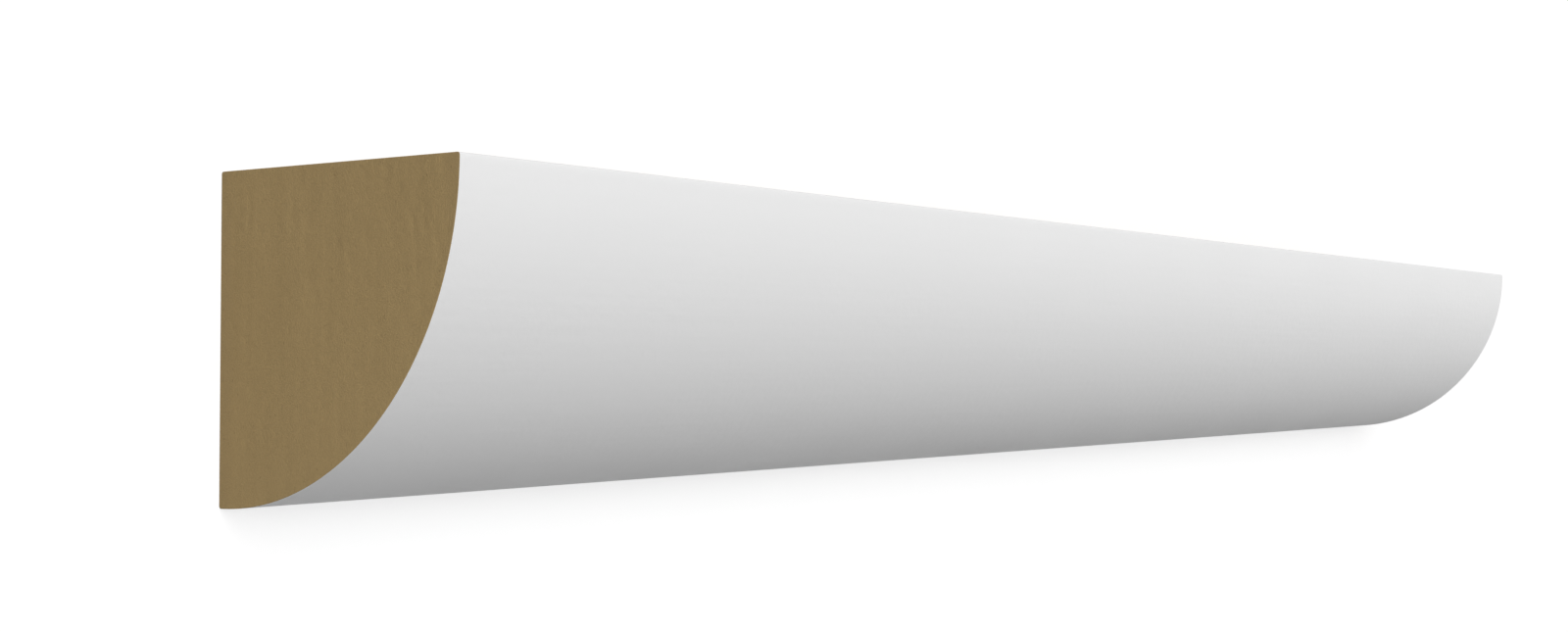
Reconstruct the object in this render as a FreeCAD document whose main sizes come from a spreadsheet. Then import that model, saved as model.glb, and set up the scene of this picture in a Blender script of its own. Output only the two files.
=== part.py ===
import FreeCAD, Part

import math
import os

import Sketcher

# Quarter round moulding: one straight length of fibreboard trim, white-primed on
# its round face and square-cut at both ends. The section is a quarter of a disc.
# Two flat faces of equal width meet at a right angle along the back arris, and the
# round face is centred on that arris and joins their outer edges.
#
# Frame, in millimetres: the moulding lies along X on its floor face, in the plane
# Z = 0, as it lies at the foot of a wall. The wall face is upright at the back and
# faces +Y. The round face looks towards -Y and +Z. The origin is the centre of the
# floor face.

PARTS_FOLDER = "parts"
PIECE_NAME = "quarter_round_moulding"

# Driving dimensions: alias, value in millimetres, what it measures.
DIMENSIONS = (
    ("leg", 19.05, "width of each flat face and radius of the round face, 3/4 in"),
    ("stock_length", 177.8, "distance between the two square-cut ends, 7 in"),
    ("arris_ease", 0.15, "radius that sanding leaves on the three long arrises"),
)

# Points of a sketch element, and the sketch's own axes and origin.
START, END, CENTRE = 1, 2, 3
ORIGIN, ORIGIN_POINT = -1, 1
ACROSS_AXIS = -1

VOLUME_TOLERANCE = 0.005
LENGTH_TOLERANCE = 1e-4


def add_dimension_sheet(doc):
    """The sheet that drives every size of the moulding."""
    sheet = doc.addObject("Spreadsheet::Sheet", "dims")
    for row, (alias, value, meaning) in enumerate(DIMENSIONS, start=1):
        sheet.set(f"A{row}", alias)
        sheet.set(f"B{row}", str(value))
        sheet.set(f"C{row}", meaning)
        sheet.setAlias(f"B{row}", alias)
    doc.recompute()
    return sheet


def origin_plane(body, role):
    """One of the body's own origin planes, found by its role."""
    return next(f for f in body.Origin.OriginFeatures if f.Role == role)


def add_section(body, sheet):
    """The quarter disc, drawn across the length with Y to the right and Z up."""
    section = body.newObject("Sketcher::SketchObject", "section")
    section.AttachmentSupport = [(origin_plane(body, "YZ_Plane"), "")]
    section.MapMode = "FlatFace"

    half = sheet.leg / 2
    front_foot = FreeCAD.Vector(-half, 0, 0)
    back_foot = FreeCAD.Vector(half, 0, 0)
    wall_top = FreeCAD.Vector(half, sheet.leg, 0)
    round_centre = Part.Circle(back_foot, FreeCAD.Vector(0, 0, 1), sheet.leg)

    floor_line = section.addGeometry(Part.LineSegment(front_foot, back_foot))
    wall_line = section.addGeometry(Part.LineSegment(back_foot, wall_top))
    round_arc = section.addGeometry(
        Part.ArcOfCircle(round_centre, math.pi / 2, math.pi)
    )

    section.addConstraint(
        [
            Sketcher.Constraint("Coincident", floor_line, END, wall_line, START),
            Sketcher.Constraint("Coincident", wall_line, END, round_arc, START),
            Sketcher.Constraint("Coincident", round_arc, END, floor_line, START),
            Sketcher.Constraint("Coincident", round_arc, CENTRE, floor_line, END),
            Sketcher.Constraint("Horizontal", floor_line),
            Sketcher.Constraint("Vertical", wall_line),
            Sketcher.Constraint("PointOnObject", floor_line, END, ACROSS_AXIS),
        ]
    )
    radius = section.addConstraint(
        Sketcher.Constraint("Radius", round_arc, sheet.leg)
    )
    setback = section.addConstraint(
        Sketcher.Constraint(
            "DistanceX", ORIGIN, ORIGIN_POINT, floor_line, END, half
        )
    )
    section.renameConstraint(radius, "round_radius")
    section.renameConstraint(setback, "back_arris_setback")
    section.setExpression("Constraints.round_radius", "dims.leg")
    section.setExpression("Constraints.back_arris_setback", "dims.leg / 2")
    return section


def add_stock(body, section):
    """The section run out along the length, half to each side of the origin."""
    stock = body.newObject("PartDesign::Pad", "stock")
    stock.Profile = section
    stock.SideType = "Symmetric"
    stock.setExpression("Length", "dims.stock_length")
    return stock


def long_arrises(stock, length):
    """The names of the edges that run the whole length of the stock."""
    return [
        f"Edge{number}"
        for number, edge in enumerate(stock.Shape.Edges, start=1)
        if abs(edge.Length - length) < LENGTH_TOLERANCE
    ]


def ease_arrises(body, stock, sheet):
    """The sanded long arrises. The ends keep the sharp edges of the saw cut."""
    eased = body.newObject("PartDesign::Fillet", "eased_arrises")
    eased.Base = (stock, long_arrises(stock, sheet.stock_length))
    eased.setExpression("Radius", "dims.arris_ease")
    body.Tip = eased
    return eased


def check_document(doc):
    """Stops the build if any object of the document failed to recompute."""
    failed = [
        item.Name
        for item in doc.Objects
        if {"Invalid", "Error"}.intersection(item.State)
    ]
    if failed:
        raise RuntimeError(f"these objects failed to build: {failed}")


def check_solid(shape, sheet):
    """Stops the build unless the piece is one sound solid of the right volume."""
    if shape.isNull() or not shape.isValid() or len(shape.Solids) != 1:
        raise RuntimeError("the moulding is not one valid solid")
    quarter_disc = math.pi * sheet.leg**2 / 4
    expected = quarter_disc * sheet.stock_length
    if abs(shape.Volume / expected - 1) > VOLUME_TOLERANCE:
        raise RuntimeError(f"volume {shape.Volume:.0f} mm3, not {expected:.0f} mm3")


def build_moulding(doc, sheet):
    """The whole moulding as one body: section, stock length, eased arrises."""
    moulding = doc.addObject("PartDesign::Body", "moulding")
    moulding.Label = PIECE_NAME
    section = add_section(moulding, sheet)
    doc.recompute()
    if not section.FullyConstrained:
        raise RuntimeError("the section sketch is not fully constrained")
    stock = add_stock(moulding, section)
    doc.recompute()
    ease_arrises(moulding, stock, sheet)
    doc.recompute()
    return moulding


def main():
    doc = FreeCAD.newDocument("quarter_round")
    sheet = add_dimension_sheet(doc)
    moulding = build_moulding(doc, sheet)
    check_document(doc)
    check_solid(moulding.Shape, sheet)

    os.makedirs(PARTS_FOLDER, exist_ok=True)
    target = os.path.join(PARTS_FOLDER, moulding.Label + ".step")
    moulding.Shape.exportStep(target)
    box = moulding.Shape.BoundBox
    print(
        f"{moulding.Label}: {box.XLength:.2f} x {box.YLength:.2f} x {box.ZLength:.2f} mm,"
        f" {moulding.Shape.Volume:.0f} mm3, {len(moulding.Shape.Faces)} faces"
    )


main()
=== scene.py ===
import math

import bpy
from mathutils import Matrix, Vector, noise
from mathutils.geometry import delaunay_2d_cdt


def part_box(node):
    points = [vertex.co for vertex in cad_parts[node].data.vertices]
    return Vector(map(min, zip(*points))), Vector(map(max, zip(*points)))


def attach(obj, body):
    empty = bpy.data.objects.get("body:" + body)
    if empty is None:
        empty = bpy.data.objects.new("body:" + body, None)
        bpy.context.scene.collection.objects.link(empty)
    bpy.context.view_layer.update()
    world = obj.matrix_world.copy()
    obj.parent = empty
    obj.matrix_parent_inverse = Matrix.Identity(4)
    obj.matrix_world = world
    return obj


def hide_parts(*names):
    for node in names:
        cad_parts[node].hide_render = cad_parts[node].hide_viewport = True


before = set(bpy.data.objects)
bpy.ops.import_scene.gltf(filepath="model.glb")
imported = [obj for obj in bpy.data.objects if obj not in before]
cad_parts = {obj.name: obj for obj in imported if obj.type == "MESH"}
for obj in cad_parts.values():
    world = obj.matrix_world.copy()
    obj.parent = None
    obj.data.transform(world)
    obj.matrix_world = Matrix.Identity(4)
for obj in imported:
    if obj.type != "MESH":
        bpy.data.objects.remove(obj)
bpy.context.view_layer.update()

# Quarter round moulding of medium-density fibreboard: white primer on the round face,
# bare brown fibreboard on the sawn ends and on the two flats.
#
# Metres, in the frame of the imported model: the length runs along X, the floor face
# lies in Z = 0, the wall face looks towards +Y, and the round face looks towards -Y
# and +Z. The round face is centred on the back arris, where the two flats meet.

MM = 0.001
NODE = "quarter_round_moulding"
PIECE = "primed_quarter_round"

# The section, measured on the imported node. Each eased arris touches a flat and the
# round face from inside, and that gives the radius of the round face.
NODE_LOW, NODE_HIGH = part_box(NODE)
HALF_LENGTH = NODE_HIGH.x
WALL_Y = NODE_HIGH.y
ARRIS_EASE = 0.15 * MM
LEG_LESS_EASE = NODE_HIGH.y - NODE_LOW.y - ARRIS_EASE
ROUND_RADIUS = ARRIS_EASE + math.hypot(LEG_LESS_EASE, ARRIS_EASE)

# The mesh of the long faces: steps round the section and along the length.
OUTLINE_STEP = 0.25 * MM
EASE_SEGMENTS = 5
RING_STEP = 2.0 * MM

# The broken edge of the saw cut, along the length and across it.
SAWN_EDGE_DEPTH = 0.02 * MM
SAWN_EDGE_WEAR = 0.042 * MM
SAWN_EDGE_VARIATION = 0.02 * MM
SAWN_EDGE_WAVELENGTH = 0.8 * MM

# The mesh of the sawn ends: a margin inside the rim, then a grid moved a little about.
# The triangulation keeps what lies inside the margin.
CAP_MARGIN = 0.11 * MM
CAP_STEP = 0.22 * MM
CAP_CLEARANCE = CAP_MARGIN + 0.6 * CAP_STEP
CAP_JITTER = 0.25
KEEP_INSIDE = 1
CAP_TOLERANCE_MM = 1e-7

# Where the shapes read the noise.
NOISE_SEED = 7
JITTER_ROW_STEP = 1.37
JITTER_COLUMN_STEP = 1.91
JITTER_SEED = 0.5
NEAR_EDGE_SEED = 1.5
FAR_EDGE_SEED = 4.5
NEAR_CUT_SEED = 2.5
FAR_CUT_SEED = 8.5
PIT_SEED_SHIFT = 7

# The relief of the sawn ends, below the plane of the cut.
SAW_RADIUS = 127.0 * MM
SAW_CENTRE = Vector((-4.0 * MM, -SAW_RADIUS))
SAW_PITCH = 0.85 * MM
SAW_DEPTH = 0.006 * MM
SAW_DRIFT = 2.0
SAW_DRIFT_WAVELENGTH = 3 * MM
PIT_HEIGHT = 0.45 * MM
PIT_WIDTH = 2 * PIT_HEIGHT
PIT_THRESHOLD = 0.15
PIT_DEPTH = 0.05 * MM

# Material slots of the mesh.
PRIMED, SAWN, PLANED = range(3)

# Colours, as linear reflectance.
PRIMER_LIGHT = (0.835, 0.835, 0.835, 1)
PRIMER_DARK = (0.815, 0.815, 0.815, 1)
FIBRE_LIGHT = (0.420, 0.298, 0.136, 1)
FIBRE_DARK = (0.269, 0.190, 0.085, 1)
FIBRE_SKIN = (0.310, 0.219, 0.102, 1)
FLECK = (0.205, 0.140, 0.066, 1)
PLANED_LIGHT = (0.430, 0.312, 0.168, 1)
PLANED_DARK = (0.320, 0.228, 0.115, 1)

# Patterns of the materials, by their wavelengths along X, Y and Z.
PRIMER_CLOUDS = (9 * MM, 5 * MM, 5 * MM)
PRIMER_PEEL = (0.7 * MM, 0.7 * MM, 0.7 * MM)
PRIMER_DRAG = (60 * MM, 0.45 * MM, 0.45 * MM)
PRIMER_WANDER = (9 * MM, 3 * MM, 3 * MM)
PRIMER_DROPLETS = (0.14 * MM, 0.14 * MM, 0.14 * MM)
BOARD_LAYERS = (30 * MM, 11 * MM, 0.8 * MM)
BOARD_CLOUDS = (7 * MM, 7 * MM, 4 * MM)
BOARD_FLECKS = (0.5 * MM, 0.36 * MM, 0.16 * MM)
PLANER_RIPPLE = (1.1 * MM, 40 * MM, 40 * MM)

# The fibres of the board lie flat in it, along these directions from X, in degrees.
FIBRE_SIZE = (1.4 * MM, 0.10 * MM, 0.06 * MM)
FIBRE_TURNS = (14, 71, 133)

# The relief that the materials draw.
PEEL_DEPTH = 0.022 * MM
DRAG_DEPTH = 0.008 * MM
SAWN_FIBRE_DEPTH = 0.014 * MM
PLANED_FIBRE_DEPTH = 0.006 * MM
RIPPLE_DEPTH = 0.004 * MM

# The darker skins of the board, and how far primer reaches over the arrises.
SKIN_DEPTH = 1.6 * MM
SKIN_SHARE = 0.7
REACH_VARIATION = 0.8 * MM
WRAP_START = ROUND_RADIUS - 0.35 * MM
WRAP_FULL = ROUND_RADIUS + 0.05 * MM
MIST_START = ROUND_RADIUS - 2.4 * MM
MIST_FULL = ROUND_RADIUS + 0.2 * MM

# The camera: a pinhole fitted to the moulding's outline in the photograph, and
# measured from the back arris of the near end. Its picture is turned a quarter turn,
# so that the wall face is at the top.
PHOTO_WIDTH = 1600
FOCAL_LENGTH_PIXELS = 2005.4
SENSOR_WIDTH = 36.0
CAMERA_FROM_CORNER = Vector((-70.57, -10.49, 91.52)) * MM
CAMERA_DIP = math.radians(36.360)
CAMERA_LIFT = math.radians(1.229)
CAMERA_ROLL = math.radians(-0.113)
CLIP_START = 1 * MM


# The moulding's mesh


def arc_points(centre, radius, start, end, segments):
    """Section points along an arc, each with its outward normal, without the last."""
    found = []
    for step in range(segments):
        angle = start + (end - start) * step / segments
        normal = Vector((math.cos(angle), math.sin(angle)))
        found.append((centre + radius * normal, normal))
    return found


def line_points(start, end, normal):
    """Section points along a flat, each with its outward normal, without the last."""
    segments = round((end - start).length / OUTLINE_STEP)
    return [(start.lerp(end, step / segments), normal) for step in range(segments)]


def section_outline():
    """The section's outline in Y and Z, anticlockwise as seen from the far end.

    Each entry holds a point, its outward normal and the finish of the stretch that
    starts there.
    """
    corner = Vector((WALL_Y, 0.0))
    inner = ROUND_RADIUS - ARRIS_EASE
    lean = math.asin(ARRIS_EASE / inner)
    reach = inner * math.cos(lean)
    quarter = math.pi / 2

    back_ease = corner + Vector((-ARRIS_EASE, ARRIS_EASE))
    top_ease = corner + Vector((-ARRIS_EASE, reach))
    foot_ease = corner + Vector((-reach, ARRIS_EASE))
    outward = Vector((1.0, 0.0))
    downward = Vector((0.0, -1.0))
    round_length = ROUND_RADIUS * (quarter - 2 * lean)
    round_segments = round(round_length / OUTLINE_STEP)

    def ease(centre, start, end):
        return arc_points(centre, ARRIS_EASE, start, end, EASE_SEGMENTS)

    stretches = [
        (PLANED, ease(back_ease, -quarter, 0)),
        (
            PLANED,
            line_points(
                back_ease + ARRIS_EASE * outward, top_ease + ARRIS_EASE * outward, outward
            ),
        ),
        (PRIMED, ease(top_ease, 0, quarter + lean)),
        (
            PRIMED,
            arc_points(
                corner, ROUND_RADIUS, quarter + lean, 2 * quarter - lean, round_segments
            ),
        ),
        (PRIMED, ease(foot_ease, 2 * quarter - lean, 3 * quarter)),
        (
            PLANED,
            line_points(
                foot_ease + ARRIS_EASE * downward,
                back_ease + ARRIS_EASE * downward,
                downward,
            ),
        ),
    ]
    return [
        (point, normal, finish)
        for finish, points in stretches
        for point, normal in points
    ]


def inside_section(point, margin):
    """Whether a point of the section plane lies inside by at least the margin."""
    from_corner = (point - Vector((WALL_Y, 0.0))).length
    return (
        point.x < WALL_Y - margin
        and point.y > margin
        and from_corner < ROUND_RADIUS - margin
    )


def cap_grid():
    """Points that fill the sawn end, on a triangular grid that is a little uneven."""
    row_step = CAP_STEP * math.sqrt(3) / 2
    rows = math.ceil(ROUND_RADIUS / row_step)
    columns = math.ceil(ROUND_RADIUS / CAP_STEP)
    points = []
    for row in range(rows + 1):
        for column in range(columns + 1):
            place = Vector(
                (
                    WALL_Y - (column + 0.5 * (row % 2)) * CAP_STEP,
                    row * row_step,
                )
            )
            reading = (row * JITTER_ROW_STEP, column * JITTER_COLUMN_STEP, JITTER_SEED)
            shift = noise.noise_vector(Vector(reading))
            place += CAP_JITTER * CAP_STEP * shift.xy
            if inside_section(place, CAP_CLEARANCE):
                points.append(place)
    return points


def cut_depth(point, seed):
    """How far a point of a sawn end lies below the plane of the cut."""
    from_blade = (point - SAW_CENTRE).length
    drift = noise.noise(
        Vector((point.x / SAW_DRIFT_WAVELENGTH, point.y / SAW_DRIFT_WAVELENGTH, seed))
    )
    phase = 2 * math.pi * from_blade / SAW_PITCH + SAW_DRIFT * drift
    stroke = 0.5 + 0.5 * math.sin(phase)
    pit = noise.noise(
        Vector((point.x / PIT_WIDTH, point.y / PIT_HEIGHT, seed + PIT_SEED_SHIFT))
    )
    return SAW_DEPTH * stroke + PIT_DEPTH * max(0.0, pit - PIT_THRESHOLD)


class MouldingMesh:
    """Vertices and faces of the moulding, gathered ring by ring."""

    def __init__(self):
        self.outline = section_outline()
        self.size = len(self.outline)
        self.vertices = []
        self.faces = []
        self.finishes = []
        self.sharp = set()

    def add_ring(self, x, insets):
        """A loop of the outline at x, moved inwards; gives its first vertex number."""
        first = len(self.vertices)
        for (point, normal, _), inset in zip(self.outline, insets):
            place = point - inset * normal
            self.vertices.append((x, place.x, place.y))
        return first

    def join_rings(self, near, far, finish=None):
        """Quads between two rings, with the outline's own finishes unless one is given."""
        for number, (_, _, own) in enumerate(self.outline):
            after = (number + 1) % self.size
            self.faces.append((near + number, near + after, far + after, far + number))
            self.finishes.append(own if finish is None else finish)

    def mark_sharp(self, ring):
        """Keeps the shading creased along a ring."""
        for number in range(self.size):
            after = (number + 1) % self.size
            self.sharp.add(frozenset((ring + number, ring + after)))

    def add_cap(self, ring, x, side, seed):
        """The sawn end inside a ring. Side is -1 at the near end and +1 at the far one."""
        rim = [Vector(self.vertices[ring + number][1:]) for number in range(self.size)]
        points = rim + cap_grid()
        loop = list(range(self.size))
        scaled = [point / MM for point in points]
        flat, _, triangles, sources, _, _ = delaunay_2d_cdt(
            scaled, [], [loop], KEEP_INSIDE, CAP_TOLERANCE_MM
        )
        numbers = []
        for place, source in zip(flat, sources):
            if source and source[0] < self.size:
                numbers.append(ring + source[0])
                continue
            point = place * MM
            numbers.append(len(self.vertices))
            self.vertices.append((x - side * cut_depth(point, seed), point.x, point.y))
        for triangle in triangles:
            corners = [numbers[corner] for corner in triangle]
            self.faces.append(corners if side > 0 else corners[::-1])
            self.finishes.append(SAWN)


def edge_wear(outline, seed):
    """How far the saw cut's own edge is broken away at each outline point."""
    return [
        SAWN_EDGE_WEAR
        + SAWN_EDGE_VARIATION
        * noise.noise(Vector((*(point / SAWN_EDGE_WAVELENGTH), seed)))
        for point, _, _ in outline
    ]


def build_moulding_mesh():
    """The whole moulding as one closed mesh: long faces, sawn edges and sawn ends."""
    # Until it is seeded, the vector noise differs from run to run.
    noise.seed_set(NOISE_SEED)
    build = MouldingMesh()
    flush = [0.0] * build.size
    near_wear = edge_wear(build.outline, NEAR_EDGE_SEED)
    far_wear = edge_wear(build.outline, FAR_EDGE_SEED)
    cap_inset = [CAP_MARGIN] * build.size

    near_margin = build.add_ring(-HALF_LENGTH, cap_inset)
    near_rim = build.add_ring(-HALF_LENGTH, near_wear)
    segments = round(2 * HALF_LENGTH / RING_STEP)
    first_x = -HALF_LENGTH + SAWN_EDGE_DEPTH
    span = 2 * (HALF_LENGTH - SAWN_EDGE_DEPTH)
    rings = [
        build.add_ring(first_x + span * step / segments, flush)
        for step in range(segments + 1)
    ]
    far_rim = build.add_ring(HALF_LENGTH, far_wear)
    far_margin = build.add_ring(HALF_LENGTH, cap_inset)

    build.join_rings(near_margin, near_rim, SAWN)
    build.join_rings(near_rim, rings[0], SAWN)
    for near, far in zip(rings, rings[1:]):
        build.join_rings(near, far)
    build.join_rings(rings[-1], far_rim, SAWN)
    build.join_rings(far_rim, far_margin, SAWN)
    for ring in (near_rim, rings[0], rings[-1], far_rim):
        build.mark_sharp(ring)
    build.add_cap(near_margin, -HALF_LENGTH, -1, NEAR_CUT_SEED)
    build.add_cap(far_margin, HALF_LENGTH, 1, FAR_CUT_SEED)
    return build


def make_moulding():
    """The dressed moulding as an object with its three finishes."""
    build = build_moulding_mesh()
    mesh = bpy.data.meshes.new(PIECE)
    mesh.from_pydata(build.vertices, [], build.faces)
    mesh.validate()
    for material in (primer_material(), sawn_material(), planed_material()):
        mesh.materials.append(material)
    mesh.polygons.foreach_set("material_index", build.finishes)
    mesh.shade_smooth()
    for edge in mesh.edges:
        if frozenset(edge.vertices) in build.sharp:
            edge.use_edge_sharp = True
    mesh.update()
    piece = bpy.data.objects.new(PIECE, mesh)
    bpy.context.scene.collection.objects.link(piece)
    return piece


# Materials

# The sockets of a Mix node that carry its two colours and the result.
MIX_FIRST, MIX_SECOND, MIX_RESULT = 6, 7, 2


class Finish:
    """A material under construction, with short calls for the nodes it needs."""

    def __init__(self, name):
        self.material = bpy.data.materials.new(name)
        self.material.use_nodes = True
        self.tree = self.material.node_tree
        self.shader = self.tree.nodes["Principled BSDF"]
        self.place = self.add("ShaderNodeTexCoord").outputs["Object"]

    def add(self, kind, **settings):
        """A new node with some of its settings changed."""
        node = self.tree.nodes.new(kind)
        for name, value in settings.items():
            setattr(node, name, value)
        return node

    def feed(self, target, value):
        """Links a socket to an input, or sets the input's own value."""
        if isinstance(value, bpy.types.NodeSocket):
            self.tree.links.new(value, target)
        else:
            target.default_value = value

    def grain(self, wavelengths, detail=2.0, turn=0.0):
        """Noise from 0 to 1 with its own wavelength along each of X, Y and Z.

        A turn about Z, in degrees, takes the wavelengths round with it.
        """
        place = self.place
        if turn:
            rotate = self.add("ShaderNodeVectorRotate", rotation_type="Z_AXIS")
            self.feed(rotate.inputs["Vector"], place)
            self.feed(rotate.inputs["Angle"], -math.radians(turn))
            place = rotate.outputs["Vector"]
        stretch = self.add("ShaderNodeVectorMath", operation="DIVIDE")
        self.feed(stretch.inputs[0], place)
        self.feed(stretch.inputs[1], wavelengths)
        texture = self.add("ShaderNodeTexNoise")
        self.feed(texture.inputs["Vector"], stretch.outputs["Vector"])
        self.feed(texture.inputs["Scale"], 1.0)
        self.feed(texture.inputs["Detail"], detail)
        return texture.outputs["Fac"]

    def remap(self, value, low, high, to_low=0.0, to_high=1.0):
        """The value taken from one range to another, with smooth ends."""
        node = self.add("ShaderNodeMapRange", interpolation_type="SMOOTHSTEP")
        ends = (value, low, high, to_low, to_high)
        names = ("Value", "From Min", "From Max", "To Min", "To Max")
        for name, given in zip(names, ends):
            self.feed(node.inputs[name], given)
        return node.outputs["Result"]

    def sum(self, first, second, share):
        """The first value plus a share of the second."""
        node = self.add("ShaderNodeMath", operation="MULTIPLY_ADD")
        self.feed(node.inputs[0], second)
        self.feed(node.inputs[1], share)
        self.feed(node.inputs[2], first)
        return node.outputs["Value"]

    def weigh(self, *parts):
        """The sum of values, each times its share."""
        total = 0.0
        for value, share in parts:
            total = self.sum(total, value, share)
        return total

    def combine(self, operation, first, second):
        """The result of a math operation on two values."""
        node = self.add("ShaderNodeMath", operation=operation)
        self.feed(node.inputs[0], first)
        self.feed(node.inputs[1], second)
        return node.outputs["Value"]

    def mix(self, share, first, second):
        """The first colour going over to the second as the share goes from 0 to 1."""
        node = self.add("ShaderNodeMix", data_type="RGBA")
        self.feed(node.inputs["Factor"], share)
        self.feed(node.inputs[MIX_FIRST], first)
        self.feed(node.inputs[MIX_SECOND], second)
        return node.outputs[MIX_RESULT]

    def from_back_arris(self):
        """Distance from the back arris, on which the round face is centred."""
        shift = self.add("ShaderNodeVectorMath", operation="SUBTRACT")
        self.feed(shift.inputs[0], self.place)
        self.feed(shift.inputs[1], (0.0, WALL_Y, 0.0))
        across = self.add("ShaderNodeVectorMath", operation="MULTIPLY")
        self.feed(across.inputs[0], shift.outputs["Vector"])
        self.feed(across.inputs[1], (0.0, 1.0, 1.0))
        length = self.add("ShaderNodeVectorMath", operation="LENGTH")
        self.feed(length.inputs[0], across.outputs["Vector"])
        return length.outputs["Value"]

    def height(self):
        """Distance above the floor face."""
        node = self.add("ShaderNodeSeparateXYZ")
        self.feed(node.inputs[0], self.place)
        return node.outputs["Z"]

    def bump(self, relief, depth, under=None):
        """A normal from relief that runs from 0 to 1 over the depth."""
        node = self.add("ShaderNodeBump")
        self.feed(node.inputs["Height"], relief)
        self.feed(node.inputs["Distance"], depth)
        if under is not None:
            self.feed(node.inputs["Normal"], under)
        return node.outputs["Normal"]

    def dress(self, colour, roughness, normal, gloss):
        """Gives the surface its values, and the finished material."""
        self.feed(self.shader.inputs["Base Color"], colour)
        self.feed(self.shader.inputs["Roughness"], roughness)
        self.feed(self.shader.inputs["Normal"], normal)
        self.feed(self.shader.inputs["Specular IOR Level"], gloss)
        return self.material


def primer_material():
    """Matt white primer: faint drag lines along the length over a fine orange peel."""
    finish = Finish("white_primer")
    clouds = finish.grain(PRIMER_CLOUDS, 3.0)
    peel = finish.grain(PRIMER_PEEL, 3.0)
    drag = finish.grain(PRIMER_DRAG)
    tone = finish.weigh((clouds, 0.6), (drag, 0.4))
    colour = finish.mix(tone, PRIMER_DARK, PRIMER_LIGHT)
    roughness = finish.remap(clouds, 0.3, 0.7, 0.68, 0.76)
    normal = finish.bump(peel, PEEL_DEPTH, finish.bump(drag, DRAG_DEPTH))
    return finish.dress(colour, roughness, normal, 0.25)


def pressed_board(finish):
    """The board's own tone, in layers parallel to the floor face, from 0 to 1."""
    layers = finish.grain(BOARD_LAYERS)
    clouds = finish.grain(BOARD_CLOUDS)
    return finish.weigh((layers, 0.6), (clouds, 0.4))


def felted_fibres(finish):
    """Fibres that cross each other in the plane of the board, from 0 to 1."""
    felt = 0.0
    for turn in FIBRE_TURNS:
        felt = finish.combine("MAXIMUM", felt, finish.grain(FIBRE_SIZE, 2.0, turn))
    return finish.remap(felt, 0.42, 0.74)


def sawn_material():
    """Sawn fibreboard: pressed layers parallel to the floor face, fibres and flecks."""
    finish = Finish("sawn_fibreboard")
    board = pressed_board(finish)
    fibres = felted_fibres(finish)
    flecks = finish.remap(finish.grain(BOARD_FLECKS, 1.0), 0.70, 0.80, 0.0, 0.6)

    tone = finish.weigh((board, 0.5), (fibres, 0.36))
    colour = finish.mix(tone, FIBRE_DARK, FIBRE_LIGHT)
    height = finish.height()
    top = ROUND_RADIUS
    low_skin = finish.remap(height, 0.0, SKIN_DEPTH, SKIN_SHARE, 0.0)
    high_skin = finish.remap(height, top - SKIN_DEPTH, top, 0.0, SKIN_SHARE)
    skin = finish.combine("MAXIMUM", low_skin, high_skin)
    colour = finish.mix(skin, colour, FIBRE_SKIN)
    colour = finish.mix(flecks, colour, FLECK)

    roughness = finish.remap(fibres, 0.3, 0.7, 0.86, 0.96)
    normal = finish.bump(fibres, SAWN_FIBRE_DEPTH)
    return finish.dress(colour, roughness, normal, 0.2)


def planed_material():
    """Planed fibreboard flats, with primer wrapped over the arrises and its mist."""
    finish = Finish("planed_fibreboard")
    board = pressed_board(finish)
    fibres = felted_fibres(finish)
    ripple = finish.grain(PLANER_RIPPLE, 0.0)
    tone = finish.weigh((board, 0.5), (fibres, 0.5))
    colour = finish.mix(tone, PLANED_DARK, PLANED_LIGHT)

    wander = finish.grain(PRIMER_WANDER, 3.0)
    reach = finish.sum(finish.from_back_arris(), wander, REACH_VARIATION)
    wrap = finish.remap(reach, WRAP_START, WRAP_FULL)
    droplets = finish.grain(PRIMER_DROPLETS)
    threshold = finish.remap(reach, MIST_START, MIST_FULL, 0.82, 0.50)
    mist = finish.combine("SUBTRACT", droplets, threshold)
    mist = finish.remap(mist, 0.0, 0.12, 0.0, 0.8)
    cover = finish.combine("MAXIMUM", wrap, mist)
    colour = finish.mix(cover, colour, PRIMER_DARK)

    roughness = finish.remap(fibres, 0.3, 0.7, 0.74, 0.84)
    under = finish.bump(ripple, RIPPLE_DEPTH)
    normal = finish.bump(fibres, PLANED_FIBRE_DEPTH, under)
    return finish.dress(colour, roughness, normal, 0.25)


# Stage, light and camera

# The world's light on the moulding, where a strength of 1 is white.
WORLD_LEVEL = 0.16

LAMP_DISTANCE = 2.5
LAMP_WIDTH = 1.4
# Each lamp: name, azimuth from +X towards +Y and elevation in degrees, and level.
LAMPS = (
    ("key_lamp", 130, 60, 0.48),
    ("near_end_lamp", 180, 38, 0.385),
    ("wall_side_lamp", 90, 25, 0.12),
    ("far_end_lamp", 0, 25, 0.20),
)

# The floor, and the distances from the moulding's middle between which its glow rises.
FLOOR_REFLECTANCE = (0.42, 0.42, 0.42, 1)
FLOOR_GLOW = 0.65
FLOOR_FADE_START = 0.25
FLOOR_FADE_END = 1.0
FLOOR_SIZE = 8.0


def seen_directly(tree):
    """A value of 1 for the camera's own rays, and for those in gloss and glass."""
    path = tree.nodes.new("ShaderNodeLightPath")
    total = path.outputs["Is Camera Ray"]
    for name in ("Is Glossy Ray", "Is Transmission Ray"):
        larger = tree.nodes.new("ShaderNodeMath")
        larger.operation = "MAXIMUM"
        tree.links.new(total, larger.inputs[0])
        tree.links.new(path.outputs[name], larger.inputs[1])
        total = larger.outputs["Value"]
    return total


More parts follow.
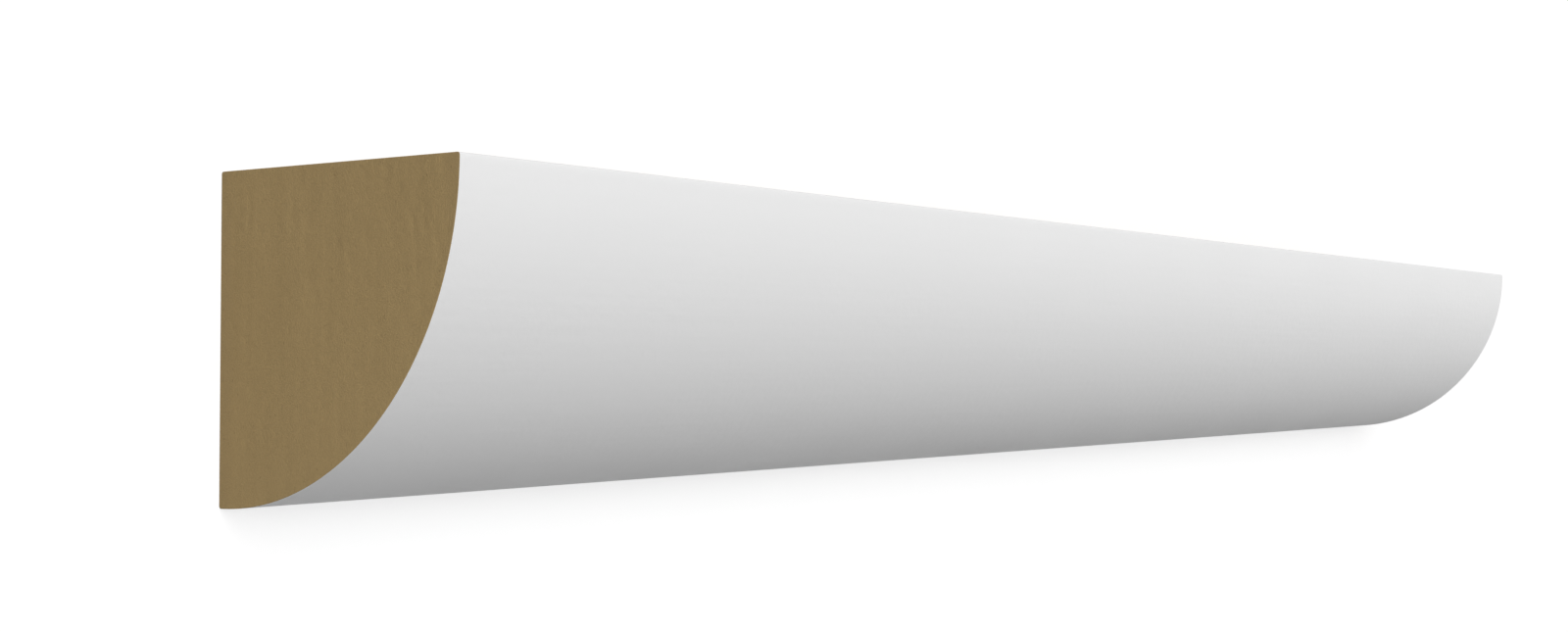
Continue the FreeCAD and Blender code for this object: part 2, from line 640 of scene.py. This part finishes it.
def make_floor():
    """A pale floor that shows white, apart from the moulding's own soft shadow.

    Its glow rises to full white away from the moulding, where the lamps fall off.
    """
    half = FLOOR_SIZE / 2
    corners = [(-half, -half, 0), (half, -half, 0), (half, half, 0), (-half, half, 0)]
    mesh = bpy.data.meshes.new("floor")
    mesh.from_pydata(corners, [], [(0, 1, 2, 3)])
    floor = bpy.data.objects.new("floor", mesh)
    bpy.context.scene.collection.objects.link(floor)

    material = bpy.data.materials.new("floor_paint")
    material.use_nodes = True
    tree = material.node_tree
    tree.nodes.clear()
    paint = tree.nodes.new("ShaderNodeBsdfDiffuse")
    paint.inputs["Color"].default_value = FLOOR_REFLECTANCE
    glow = tree.nodes.new("ShaderNodeEmission")
    place = tree.nodes.new("ShaderNodeTexCoord")
    reach = tree.nodes.new("ShaderNodeVectorMath")
    reach.operation = "LENGTH"
    fade = tree.nodes.new("ShaderNodeMapRange")
    fade.inputs["From Min"].default_value = FLOOR_FADE_START
    fade.inputs["From Max"].default_value = FLOOR_FADE_END
    fade.inputs["To Min"].default_value = FLOOR_GLOW
    fade.inputs["To Max"].default_value = 1.0
    tree.links.new(place.outputs["Object"], reach.inputs[0])
    tree.links.new(reach.outputs["Value"], fade.inputs["Value"])
    strength = tree.nodes.new("ShaderNodeMath")
    strength.operation = "MULTIPLY"
    tree.links.new(fade.outputs["Result"], strength.inputs[1])
    both = tree.nodes.new("ShaderNodeAddShader")
    output = tree.nodes.new("ShaderNodeOutputMaterial")
    tree.links.new(seen_directly(tree), strength.inputs[0])
    tree.links.new(strength.outputs["Value"], glow.inputs["Strength"])
    tree.links.new(paint.outputs["BSDF"], both.inputs[0])
    tree.links.new(glow.outputs["Emission"], both.inputs[1])
    tree.links.new(both.outputs["Shader"], output.inputs["Surface"])
    mesh.materials.append(material)
    return floor


def make_world():
    """White where it is seen, and a plain even light on the moulding."""
    world = bpy.data.worlds.new("studio")
    world.use_nodes = True
    tree = world.node_tree
    background = tree.nodes["Background"]
    level = tree.nodes.new("ShaderNodeMapRange")
    level.inputs["To Min"].default_value = WORLD_LEVEL
    level.inputs["To Max"].default_value = 1.0
    tree.links.new(seen_directly(tree), level.inputs["Value"])
    tree.links.new(level.outputs["Result"], background.inputs["Strength"])
    background.inputs["Color"].default_value = (1, 1, 1, 1)
    bpy.context.scene.world = world


def make_lamp(name, azimuth, elevation, level):
    """A square soft lamp aimed at the moulding.

    A level of 1 shows a surface that faces the lamp at its own colour. The lamp's share
    is the part of such a surface's view that it fills, weighted by the cosine.
    """
    around, above = math.radians(azimuth), math.radians(elevation)
    outwards = Vector((math.cos(around), math.sin(around), 0.0))
    upwards = Vector((0.0, 0.0, 1.0))
    direction = math.cos(above) * outwards + math.sin(above) * upwards
    place = LAMP_DISTANCE * direction
    data = bpy.data.lights.new(name, "AREA")
    data.shape = "SQUARE"
    data.size = LAMP_WIDTH
    spread = LAMP_WIDTH / 2 / LAMP_DISTANCE
    slope = spread / math.hypot(1, spread)
    share = 4 / math.pi * slope * math.atan(slope)
    data.energy = level * math.pi * LAMP_WIDTH**2 / share
    lamp = bpy.data.objects.new(name, data)
    lamp.location = place
    lamp.rotation_mode = "QUATERNION"
    lamp.rotation_quaternion = (-direction).to_track_quat("-Z", "Y")
    bpy.context.scene.collection.objects.link(lamp)


def make_camera():
    """The photograph's camera, which looks down on the moulding from its near end."""
    sin_dip, cos_dip = math.sin(CAMERA_DIP), math.cos(CAMERA_DIP)
    sin_lift, cos_lift = math.sin(CAMERA_LIFT), math.cos(CAMERA_LIFT)
    forward = Vector((cos_dip * cos_lift, sin_lift, -sin_dip * cos_lift))
    right = Vector((sin_dip, 0.0, cos_dip))
    down = forward.cross(right)
    right = right * math.cos(CAMERA_ROLL) + down * math.sin(CAMERA_ROLL)
    up = right.cross(forward)

    data = bpy.data.cameras.new("camera")
    data.sensor_width = SENSOR_WIDTH
    data.lens = SENSOR_WIDTH * FOCAL_LENGTH_PIXELS / PHOTO_WIDTH
    data.clip_start = CLIP_START
    camera = bpy.data.objects.new("camera", data)
    turn = Matrix((right, up, -forward)).transposed().to_4x4()
    corner = Vector((-HALF_LENGTH, WALL_Y, 0.0))
    camera.matrix_world = Matrix.Translation(corner + CAMERA_FROM_CORNER) @ turn
    bpy.context.scene.collection.objects.link(camera)
    bpy.context.scene.camera = camera


make_camera()
moulding = make_moulding()
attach(moulding, "root")
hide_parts(NODE)
make_floor()
make_world()
for lamp in LAMPS:
    make_lamp(*lamp)
bpy.context.scene.view_settings.view_transform = "Standard"
